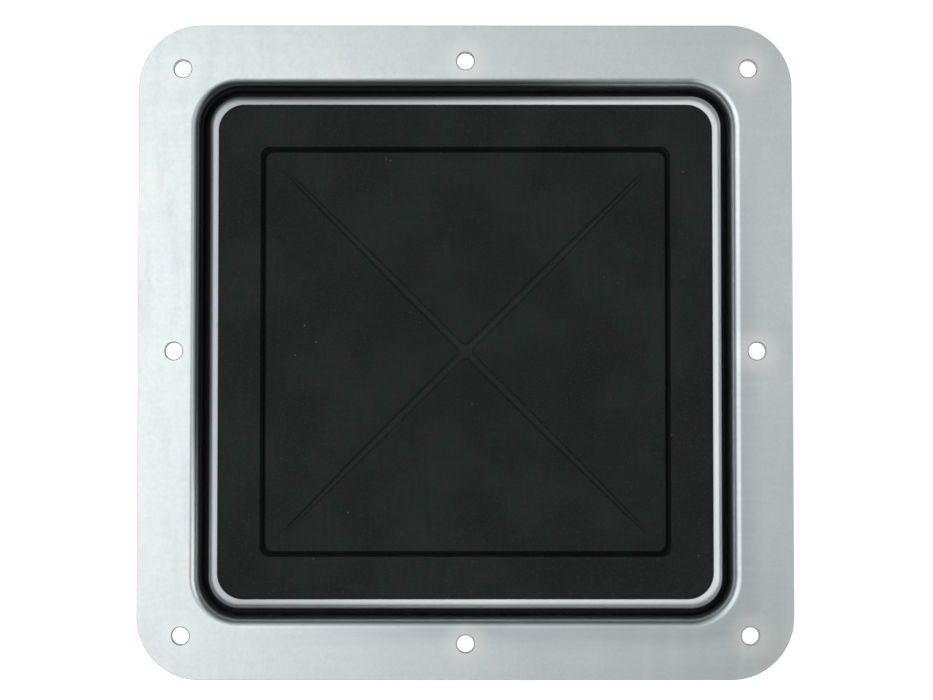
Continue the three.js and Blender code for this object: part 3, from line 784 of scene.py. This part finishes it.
def make_bridge_bar():
    """Flat bar with both ends bent up, and a round pad that the housing is screwed to."""
    reach, thick, bend, half_width = bridge.right, 4, 5, 16
    under, top, tip = bridge.bottom, bridge.bottom + thick, bridge.top
    bend_x, bend_z = reach - bend, under + bend
    outline = [(reach, tip), (reach - thick, tip)]
    outline += arc(bend_x, bend_z, bend - thick, 0, -90, 5)
    outline += arc(-bend_x, bend_z, bend - thick, -90, -180, 5)
    outline += [(thick - reach, tip), (-reach, tip)]
    outline += arc(-bend_x, bend_z, bend, 180, 270, 10)
    outline += arc(bend_x, bend_z, bend, 270, 360, 10)
    bar = loft("bridge", [[(x, y, z) for x, z in outline] for y in (half_width, -half_width)])
    join(bar, [turned("pad", [(bridge.back, under), (bridge.back, top)], sides=96)])
    places = [(15.3, 0, 0), (7.3, ROD_AT, 0), (7.3, -ROD_AT, 0)]
    places += [(2.3, x, y) for x, y in housing_screw_places()]
    holes = [drill(radius, under - 1, top + 1, x, y) for radius, x, y in places]
    cut(bar, holes + bridge_bolt_cutters(reach - thick / 2))
    return fit_out(soften(bar, 0.5), MILL, "frame", "bridge_bar")


def make_guide_bushes():
    """Flanged acetal bushes that the guide rods slide in."""
    for side in ("left", "right"):
        bush = Span(f"guide_bush_{side}")
        bore, shank, flange = 4.3, 7, bush.width / 2
        seat = bush.top - 2
        outline = outer_face(shank, bush.bottom, seat, 0.8, 0)
        outline += outer_face(flange, seat, bush.top, 0.3, 0.6)
        outline += inner_face(bore, bush.bottom, bush.top, 0.6, 0.8)
        piece = moved(turned(f"rod_bush_{side}", outline, closed=True), bush.middle.x)
        fit_out(piece, ACETAL, "frame", f"guide_bush_{side}")


def make_bearing_housing():
    """Flanged housing with a rounded flange, and two grooves round its barrel."""
    bore, barrel, flange, crown = 11.3, 15, housing.width / 2, 1.2
    bottom, top = housing.bottom, housing.top
    seat = top - 4
    outline = [(barrel - 0.8, bottom), (barrel, bottom + 0.8)]
    for groove in (bottom + 5, bottom + 9):
        depth, width, slope = 0.6, 1.6, 0.4
        outline += [(barrel, groove), (barrel - depth, groove + slope)]
        outline += [(barrel - depth, groove + width - slope), (barrel, groove + width)]
    outline += [(barrel, seat), (flange - 0.4, seat), (flange, seat + 0.4)]
    outline += arc(flange - crown, top - crown, crown, 0, 90, 5)
    outline += inner_face(bore, bottom, top, 0.5, 0.8)
    piece = turned("spindle_housing", outline, closed=True, sides=96)
    holes = [drill(2.3, seat - 1, top + 1, x, y) for x, y in housing_screw_places()]
    return fit_out(cut(piece, holes), SATIN, "frame", "bearing_housing")


# ---- fasteners

def socket_cutter(across_flats, depth, z, faces_up=True):
    """Hexagon socket for a key, sunk into a screw head."""
    low, high = (z - depth, z + 1) if faces_up else (z - 1, z + depth)
    return hexagonal("cutter", [(across_flats, low), (across_flats, high)], across_flats)


def hex_nut(name, across_flats, height, bore, bottom=0):
    """Chamfered hexagon nut with a countersunk bore."""
    corner = across_flats / sqrt(3)
    inward, along = 0.12 * across_flats, 0.06 * across_flats
    top = bottom + height
    outline = [(corner - inward, bottom), (corner, bottom + along)]
    outline += [(corner, top - along), (corner - inward, top)]
    outline += inner_face(bore, bottom, top, 0.4, 0.4)
    return hexagonal(name, outline, across_flats, closed=True)


def hex_bolt(name, radius, length, across_flats, head):
    """Hexagon-head bolt with a washer face, a plain head and a threaded shank."""
    corner, washer_face = across_flats / sqrt(3), across_flats * 0.47
    chamfer = 0.12 * across_flats
    outline = [
        (corner - chamfer, 0.2), (corner, 0.2 + chamfer * 0.3), (corner, head - chamfer * 0.5),
        (corner - chamfer, head), (corner * 0.3, head - 0.1),
    ]
    bolt = hexagonal(name, outline, across_flats)
    face = turned("face", [(washer_face, 0), (washer_face, 0.3)])
    return gather(bolt, [face, threaded("shank", radius, 0.35, 0.8, -length, 0.1)])


def gather(piece, others):
    """Puts other meshes into a piece as they are, without cutting."""
    bm = bmesh.new()
    for part in [piece] + others:
        bm.from_mesh(part.data)
    bm.to_mesh(piece.data)
    bm.free()
    for other in others:
        bpy.data.objects.remove(other)
    return piece


def make_bridge_bolts():
    """Bolts through the ledge and the bridge's bent ends. Their heads are outside, their nuts inside."""
    head_height, length, across_flats = 3.5, 12, 8
    for i in range(1, 5):
        bolt, nut = Span(f"bridge_bolt_{i}"), Span(f"bridge_nut_{i}")
        side = 1 if bolt.middle.x > 0 else -1
        seat = (bolt.left if side > 0 else bolt.right) + side * head_height
        piece = hex_bolt(f"bar_bolt_{i}", 2.5, length, across_flats, head_height)
        moved(piece, seat, bolt.middle.y, bolt.middle.z, turn_about("Y", -90 * side))
        fit_out(piece, FASTENER, "frame", f"bridge_bolt_{i}")
        start = nut.left if side > 0 else nut.right
        piece = hex_nut(f"bar_nut_{i}", across_flats, nut.width, 2.55)
        moved(piece, start, nut.middle.y, nut.middle.z, turn_about("Y", 90 * side))
        fit_out(piece, FASTENER, "frame", f"bridge_nut_{i}")


def make_housing_screws():
    """Socket screws with low round heads, and their nuts under the bar."""
    for i in range(1, 5):
        screw, nut = Span(f"housing_screw_{i}"), Span(f"housing_nut_{i}")
        head, head_height, crown = screw.width / 2, 2.6, 0.9
        seat = screw.top - head_height
        outline = [(1.9, seat - 0.2), (head - 0.2, seat), (head, seat + 0.3), (head, screw.top - crown)]
        outline += arc(head - crown, screw.top - crown, crown, 20, 90, 4)
        cap = cut(turned(f"flange_screw_{i}", outline), [socket_cutter(2.5, 1.4, screw.top)])
        gather(cap, [threaded("shank", 2, 0.3, 0.7, screw.bottom, seat)])
        fit_out(moved(cap, screw.middle.x, screw.middle.y), FASTENER, "frame", f"housing_screw_{i}")
        piece = hex_nut(f"flange_nut_{i}", 7, nut.height, 2.05, nut.bottom)
        fit_out(moved(piece, nut.middle.x, nut.middle.y), FASTENER, "frame", f"housing_nut_{i}")


# ---- handwheel and drive

def make_drive_nut():
    """Bronze nut: a long threaded sleeve over a flange that the handwheel is screwed to."""
    bore, sleeve, flange = 7.3, 11, drive_nut.width / 2
    bottom, top = drive_nut.bottom, drive_nut.top
    shoulder = bottom + 5.2
    ring = Span("retaining_ring")
    groove, low, high = sleeve - 0.9, ring.bottom - 0.05, ring.top + 0.05
    outline = outer_face(flange, bottom, shoulder, 0.5, 0.5)
    outline += [(sleeve, shoulder), (sleeve, low), (groove, low), (groove, high), (sleeve, high)]
    outline += [(sleeve, top - 0.6), (sleeve - 0.6, top)]
    outline += inner_face(bore, bottom, top, 0.6, 0.8)
    piece = turned("threaded_sleeve", outline, closed=True)
    holes = [drill(2.1, bottom - 1, shoulder + 1, x, y) for x, y in wheel_screw_places()]
    return fit_out(cut(piece, holes), BRONZE, "wheel", "drive_nut")


def make_thrust_washers():
    """Acetal washers above and below the housing."""
    for end in ("upper", "lower"):
        washer = Span(f"thrust_washer_{end}")
        piece = turned_ring(f"slip_washer_{end}", 11.3, washer.width / 2, washer.bottom, washer.top, 0.15)
        fit_out(piece, ACETAL, "wheel", f"thrust_washer_{end}")


def make_retaining_ring():
    """Open spring ring, with a lug and an eye at each end for the pliers."""
    ring = Span("retaining_ring")
    inner, band, taper, lug = 10.2, 12.4, 0.5, 13.0
    half_gap, steps, lug_steps = 12, 60, 3
    outside, inside = [], []
    for i in range(steps + 1):
        angle = radians(half_gap + (360 - 2 * half_gap) * i / steps)
        in_lug = min(i, steps - i) < lug_steps
        outer = lug if in_lug else band - taper * cos(angle)
        outside.append(polar(outer, angle))
        inside.append(polar(inner, angle))
    clip = extruded("snap_ring", outside + inside[::-1], ring.bottom, ring.top)
    eye_at, eye = 11.7, radians(half_gap + 6)
    eyes = [drill(0.7, ring.bottom - 1, ring.top + 1, *polar(eye_at, angle)) for angle in (eye, -eye)]
    return fit_out(soften(cut(clip, eyes), 0.12), FASTENER, "wheel", "retaining_ring")


def make_spoke(start, end, height):
    """Oval spoke along X, thicker at both of its ends."""
    half_width, half_height, swell = 4.2, 3.6, 0.28
    steps, sides = 12, 24
    rings = []
    for k in range(steps + 1):
        share = k / steps
        thicker = 1 + swell * (2 * share - 1) ** 2
        oval = circle(thicker, 0, sides)
        x = start + (end - start) * share
        rings.append([(x, half_width * across, height + half_height * up) for across, up, _ in oval])
    return loft("spoke", rings)


def make_handwheel():
    """Moulded hub, three spokes and a round ring, with fillets where they run together."""
    ring_radius, tube, hub, bore, turns = 36, 5, 21, 10.6, 120
    top, bottom = wheel.top, Span("wheel_screw_1").bottom
    ring_z = wheel.bottom + tube
    section = arc(ring_radius, ring_z, tube, 0, 345, 23)
    hoop = []
    for i in range(turns):
        hoop.append([(*polar(r, 2 * pi * i / turns), z) for r, z in section])
    body = loft("grip_wheel", hoop, closed=True, smooth_below=180)
    outline = [(bore, bottom)] + outer_face(hub, bottom, top, 1, 0.6) + [(bore, top)]
    parts = [turned("hub", outline, closed=True)]
    for i in range(3):
        spoke = make_spoke(hub - 3, ring_radius, ring_z)
        parts.append(moved(spoke, turn=turn_about("Z", 120 * i)))
    run_together(join(body, parts))
    counterbores = []
    for x, y in wheel_screw_places():
        counterbores += [drill(2.3, bottom - 1, top + 1, x, y), drill(3.9, bottom - 1, bottom + 2.5, x, y)]
    cut(body, counterbores)
    for face in body.data.polygons:
        face.use_smooth = True
    return fit_out(body, NYLON, "wheel", "handwheel")


def run_together(body):
    """Melts joined shapes into one skin with small fillets."""
    remesh = body.modifiers.new("remesh", "REMESH")
    remesh.mode = "VOXEL"
    remesh.voxel_size = 0.0006
    ease = body.modifiers.new("ease", "CORRECTIVE_SMOOTH")
    ease.use_only_smooth = True
    ease.iterations = 6
    thin = body.modifiers.new("thin", "DECIMATE")
    thin.ratio = 0.35
    return settle(body)


def make_wheel_screws():
    """Socket screws that hold the handwheel up to the drive nut."""
    for i in (1, 2, 3):
        screw = Span(f"wheel_screw_{i}")
        seat = screw.bottom + 2.4
        outline = outer_face(screw.width / 2, screw.bottom, seat, 0.6, 0) + [(1.9, seat + 0.1)]
        cap = cut(turned(f"hub_screw_{i}", outline), [socket_cutter(2.5, 1.4, screw.bottom, faces_up=False)])
        gather(cap, [threaded("shank", 2, 0.3, 0.7, seat, screw.top)])
        fit_out(moved(cap, screw.middle.x, screw.middle.y), FASTENER, "wheel", f"wheel_screw_{i}")


# ---- lid

def make_lid_tray():
    """Pressed tray with a folded rim: crisp on the inside, well rounded on the outside."""
    inner = LID_HALF - RIM_WIDTH
    top, bottom = tray.top, FLANGE_TOP - 11
    floor_top, floor_under = TRAY_TOP, TRAY_TOP - SHEET
    crisp, foot_bend, middle, middle_corner = 0.2, 1.5, 4, 3
    section = [(middle, floor_top, middle_corner), (inner - foot_bend, floor_top, TRAY_CORNER - foot_bend)]
    section += [(inner, floor_top + foot_bend, TRAY_CORNER), (inner, top - crisp, TRAY_CORNER)]
    section += [(inner + crisp, top, TRAY_CORNER + crisp)]
    section += rim_crown(inner + crisp, top)
    section += [(LID_HALF, bottom + EDGE), (LID_HALF - EDGE, bottom), (inner + EDGE, bottom)]
    section += [(inner, bottom + EDGE), (inner, floor_under), (middle, floor_under, middle_corner)]
    piece = square_ring("lid_rim_and_floor", section, closed=False)
    root = floor_under + 0.2
    for x, y in stud_places():
        stud = threaded("stud", 2.5, 0.35, 0.8, tray.bottom, root)
        collar = turned("collar", [(2.6, brace.top + 0.3), (3.6, floor_under), (3.6, root)])
        gather(piece, [moved(stud, x, y), moved(collar, x, y)])
    return fit_out(piece, POLISHED, "lid", "lid_tray")


def rim_crown(start, top):
    """Nearly flat on top, and rounding off faster and faster towards the lid's edge."""
    squareness, steps = 2.7, 14
    crown = []
    for i in range(1, steps + 1):
        angle = pi / 2 * i / steps
        across = sin(angle) ** (2 / squareness)
        down = 1 - max(cos(angle), 0) ** (2 / squareness)
        crown.append((start + (LID_HALF - start) * across, top - RIM_ROUND * down))
    return crown


def rise(value, low, high):
    """0 up to low, 1 from high, and a smooth rise between."""
    share = min(max((value - low) / (high - low), 0), 1)
    return share * share * (3 - 2 * share)


def insert_height(half, x, y):
    """Height of the insert's face, from the size of square that a point lies on."""
    channel_inside, deepest, wall_top = RECESS_HALF - 2.1, RECESS_HALF - 1, RECESS_HALF + 0.2
    pillow_height, groove_hub, edge_round = 0.2, 1.5, 0.3
    below_wall = 1 - rise(half, deepest, wall_top)
    face = insert.top - RECESS_DEPTH * below_wall
    channel = CHANNEL_DEPTH * rise(half, channel_inside, deepest) * below_wall
    pillow = pillow_height * rise(channel_inside - half, 0, channel_inside)
    off_diagonal = abs(abs(x) - abs(y)) / sqrt(2)
    off_groove = min(off_diagonal, hypot(x, y) - groove_hub)
    half_width = GROOVE_HALF_WIDTH * (1 - 0.7 * rise(half, GROOVE_REACH * 0.3, GROOVE_REACH))
    depth = GROOVE_DEPTH * (1 - rise(half, GROOVE_REACH - 16, GROOVE_REACH))
    sunk = depth * (1 - rise(off_groove, half_width * 0.4, half_width + 0.5))
    edge = edge_round * (1 - rise(INSERT_HALF - half, 0, 0.5))
    return face - channel - pillow - sunk - edge


def insert_corner(half):
    """Corner radius of the square of a given half width: sharp inside, and rounder outwards."""
    if half <= RECESS_HALF:
        return RECESS_CORNER * rise(half, 60, RECESS_HALF - 1.5)
    growth = (half - RECESS_HALF) / (INSERT_HALF - RECESS_HALF)
    return RECESS_CORNER + (TRAY_CORNER - 0.1 - RECESS_CORNER) * growth


def insert_squares():
    """Half widths of the squares that the insert's face is built from, closer where it turns."""
    hub = [0.3 * (i + 1) for i in range(14)]
    floor = [4.2 + 71 * (i + 1) / 60 for i in range(60)]
    wall = [RECESS_HALF - 2.6 + 0.15 * i for i in range(20)]
    border = [RECESS_HALF + 2 + 1.2 * i for i in range(13)]
    edge = [INSERT_HALF - 0.6 + 0.1 * i for i in range(7)]
    return hub + floor + wall + border + edge


def make_lid_insert():
    """Moulded insert, built as rings of a square whose corners round off towards the outside."""
    bm = bmesh.new()
    rows = []
    for half in insert_squares():
        corner = insert_corner(half)
        row = []
        for side in range(4):
            for share in groove_columns()[:-1]:
                x, y = square_point(half, corner, side, share)
                row.append(bm.verts.new((x, y, insert_height(half, x, y))))
        rows.append(row)
    skirt = [bm.verts.new((vertex.co.x, vertex.co.y, insert.bottom)) for vertex in rows[-1]]
    rows.append(skirt)
    hub = bm.verts.new((0, 0, insert_height(0, 0, 0)))
    count = len(skirt)
    for i in range(count):
        bm.faces.new((hub, rows[0][i], rows[0][(i + 1) % count]))
    for low, high in zip(rows, rows[1:]):
        for i in range(count):
            j = (i + 1) % count
            bm.faces.new((low[i], high[i], high[j], low[j]))
    bm.faces.new(reversed(skirt))
    return fit_out(as_object("moulded_lid_insert", bm, 50), INSERT, "lid", "lid_insert")


def groove_columns():
    """Shares along a side from -1 to 1, packed close to both ends, where the grooves run."""
    near = [1 - 0.3 * (i / 22) ** 1.5 for i in range(23)]
    middle = [0.6 - 1.2 * i / 12 for i in range(13)]
    return sorted(near + middle + [-share for share in near])


def square_point(half, corner, side, share):
    """A point on a rounded square: share runs from -1 to 1 between the middles of two corners."""
    straight = half - corner
    along = abs(share) * (straight + corner * pi / 4)
    if along <= straight:
        x, y = half, along
    else:
        angle = (along - straight) / corner
        x = straight + corner * cos(angle)
        y = straight + corner * sin(angle)
    y = copysign(y, share)
    for _ in range(side):
        x, y = -y, x
    return x, y


def round_ended_bar(name, length, width):
    """Flat bar along X, as thick as the brace. The centres of its round ends are a length apart."""
    outline = arc(length / 2, 0, width / 2, -90, 90, 24)
    outline += arc(-length / 2, 0, width / 2, 90, 270, 24)
    return extruded(name, outline, brace.bottom, brace.top)


def make_lid_brace():
    """Plate with a cross beam and four arms, bolted to the tray's studs."""
    arm_end, arm_width, beam_width, hub = 70, 20, 26, 32
    plate = round_ended_bar("spider_plate", 2 * ROD_AT, beam_width)
    arms = []
    for degrees in (45, -45):
        arm = round_ended_bar("arm", 2 * arm_end * sqrt(2), arm_width)
        arms.append(moved(arm, turn=turn_about("Z", degrees)))
    join(plate, arms + [turned("hub", [(hub, brace.bottom), (hub, brace.top)], sides=96)])
    holes = [(5.1, 0, 0), (3.1, ROD_AT, 0), (3.1, -ROD_AT, 0)] + [(2.8, x, y) for x, y in stud_places()]
    cut(plate, [drill(radius, brace.bottom - 1, brace.top + 1, x, y) for radius, x, y in holes])
    return fit_out(soften(plate, 0.6), MILL, "lid", "lid_brace")


def make_brace_nuts():
    """Nuts on the tray's studs."""
    for i, (x, y) in enumerate(stud_places(), 1):
        nut = Span(f"brace_nut_{i}")
        piece = hex_nut(f"stud_nut_{i}", 8, nut.height, 2.55, nut.bottom)
        fit_out(moved(piece, x, y), FASTENER, "lid", f"brace_nut_{i}")


def make_spindle():
    """Two-start threaded spindle with a hexagon collar and a riveted neck."""
    radius, neck, collar_height, across_flats = 7, 5, 6, 22
    corner, inward, along = across_flats / sqrt(3), 1.2, 0.7
    top = brace.bottom - 0.1
    foot = top - collar_height
    screw = threaded("lift_spindle", radius, 1.4, 3, spindle.bottom + 1.2, foot - 2, starts=2)
    tip = turned("tip", [(radius - 2.2, spindle.bottom), (radius - 1.4, spindle.bottom + 1.25)])
    relief = turned("relief", [(radius - 1.5, foot - 2.1), (radius - 1.5, foot + 0.1)])
    outline = [(corner - inward, foot), (corner, foot + along), (corner, top - along), (corner - inward, top)]
    rivet = turned("neck", outer_face(neck, top - 0.2, spindle.top, 0, 0.4))
    gather(screw, [tip, relief, hexagonal("collar", outline, across_flats), rivet])
    return fit_out(screw, TURNED, "lid", "spindle")


def make_guide_rods():
    """Ground rods, each with a collar under the brace and a riveted neck through it."""
    for side in ("left", "right"):
        rod = Span(f"guide_rod_{side}")
        radius, collar, neck = 4, rod.width / 2, 3
        top = brace.bottom - 0.1
        foot = top - 4
        outline = outer_face(radius, rod.bottom, foot - 0.4, 1.2, 0) + [(radius + 0.4, foot)]
        outline += outer_face(collar, foot, top, 0.5, 0.3) + outer_face(neck, top, rod.top, 0, 0.5)
        piece = moved(turned(f"slide_rod_{side}", outline), rod.middle.x)
        fit_out(piece, TURNED, "lid", f"guide_rod_{side}")


def make_end_stop():
    """Washer and screw at the foot of the spindle."""
    washer, screw = Span("stop_washer"), Span("stop_screw")
    piece = turned_ring("end_washer", 3.3, washer.width / 2, washer.bottom, washer.top, 0.3)
    fit_out(piece, FASTENER, "lid", "stop_washer")
    seat, shank = screw.bottom + 4, 2.9
    outline = outer_face(screw.width / 2, screw.bottom, seat, 0.8, 0)
    outline += outer_face(shank, seat + 0.05, screw.top, 0, 0)
    cap = cut(turned("end_screw", outline), [socket_cutter(5, 2.6, screw.bottom, faces_up=False)])
    fit_out(cap, FASTENER, "lid", "stop_screw")


# ---- studio

def one_sided_paper():
    """Pale paper that glows a little on top, and is see-through from below."""
    glow = {"emission_color": shade(1, 1, 1), "emission_strength": 0.8}
    paper = Finish("pale_paper", roughness=0.9, specular_ior_level=0.1, **glow)
    tone = paper.grain(900, detail=1)
    colour = paper.blend(tone, shade(0.8, 0.8, 0.8), shade(0.82, 0.82, 0.82))
    paper.feed(paper.shader.inputs["Base Color"], colour)
    clear = paper.node("BsdfTransparent")
    underside = paper.node("NewGeometry", output="Backfacing")
    top_side = Value(paper, paper.shader.outputs[0])
    both_sides = paper.node("MixShader", inputs={0: underside, 1: top_side, 2: clear})
    paper.feed(paper.tree.nodes["Material Output"].inputs["Surface"], both_sides)
    return paper.material


def make_floor():
    """A wide sheet of paper just under the hatch, which doesn't hide the hatch's underside."""
    half = 6
    z = cad_box[0][2] - 0.0005
    corners = [(-half, -half, z), (half, -half, z), (half, half, z), (-half, half, z)]
    mesh = bpy.data.meshes.new("floor")
    mesh.from_pydata(corners, [], [(0, 1, 2, 3)])
    mesh.materials.append(one_sided_paper())
    floor = bpy.data.objects.new("floor", mesh)
    bpy.context.collection.objects.link(floor)


def make_light(name, place, size, power, spin=0):
    """A soft square lamp that faces the hatch, spun by some degrees about its own axis."""
    light = bpy.data.lights.new(name, "AREA")
    light.shape = "SQUARE"
    light.size = size
    light.energy = power
    lamp = bpy.data.objects.new(name, light)
    lamp.location = place
    lamp.visible_camera = False
    aim = Vector(place).to_track_quat("Z", "Y").to_matrix()
    lamp.rotation_euler = (aim @ Matrix.Rotation(radians(spin), 3, "Z")).to_euler()
    bpy.context.collection.objects.link(lamp)


def make_camera():
    """Above the hatch, and a little to its front."""
    lens, sensor, view_width, clear_of_floor = 100, 36, 0.3559, 30
    lean = radians(2.4)
    aim_at = Vector((0.0004, 0.0004, FLANGE_TOP / 1000))
    camera = bpy.data.cameras.new("camera")
    camera.lens = lens
    camera.sensor_width = sensor
    camera.clip_end = clear_of_floor
    eye = bpy.data.objects.new("camera", camera)
    away = Vector((0, -sin(lean), cos(lean)))
    eye.location = aim_at + away * view_width * lens / sensor
    eye.rotation_euler = (lean, 0, 0)
    bpy.context.collection.objects.link(eye)
    bpy.context.scene.camera = eye


def make_studio():
    make_camera()
    make_floor()
    make_light("overhead", (-0.65, 0.4, 1.9), 2.8, 13)
    make_light("key_left", (-0.79, 0.1, 1.7), 1.4, 6.5, spin=-32)
    make_light("side_right", (1.05, -0.05, 1.4), 1, 5)
    make_light("front_low", (-0.3, -1.1, 1.5), 0.8, 1.9)
    world = bpy.data.worlds.new("studio")
    world.use_nodes = True
    backdrop = world.node_tree.nodes["Background"]
    backdrop.inputs["Color"].default_value = shade(0.86, 0.88, 0.9)
    backdrop.inputs["Strength"].default_value = 0.11
    bpy.context.scene.world = world
    bpy.context.scene.view_settings.view_transform = "Standard"


# ---- the hatch

make_studio()
make_frame_sheet()
make_deck_gasket()
make_seal_ledge()
make_weld_seam()
make_lid_seal()
make_bridge_bar()
make_guide_bushes()
make_bearing_housing()
make_bridge_bolts()
make_housing_screws()
make_drive_nut()
make_thrust_washers()
make_retaining_ring()
make_handwheel()
make_wheel_screws()
make_lid_tray()
make_lid_insert()
make_lid_brace()
make_brace_nuts()
make_spindle()
make_guide_rods()
make_end_stop()
